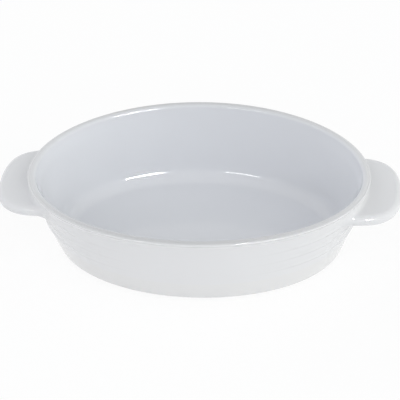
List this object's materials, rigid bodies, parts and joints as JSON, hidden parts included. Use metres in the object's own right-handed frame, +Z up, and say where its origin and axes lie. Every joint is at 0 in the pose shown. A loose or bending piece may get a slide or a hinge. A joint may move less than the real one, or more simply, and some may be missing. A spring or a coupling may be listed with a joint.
{
  "type": "oval baking dish",
  "caption": "Oval white glazed stoneware oven dish with a flared lip, a ridged sloping wall and a flat tab handle at each end, on a low bare foot ring.",
  "frame": {"origin": "on the table, under the middle of the dish", "axes": "+X along the dish from the left handle to the right handle, +Y across it, +Z up"},
  "size_m": [0.3046, 0.184, 0.068],
  "materials": {
    "inside_glaze": "gloss white glaze, slightly cool",
    "outside_glaze": "gloss white glaze",
    "bare_clay": "unglazed, ground flat"
  },
  "bodies": {
    "root": {"foot_ring": "bare_clay", "base": "inside_glaze", "side_wall": "outside_glaze", "rim": "outside_glaze", "left_handle": "outside_glaze", "right_handle": "outside_glaze"}
  },
  "joints": []
}
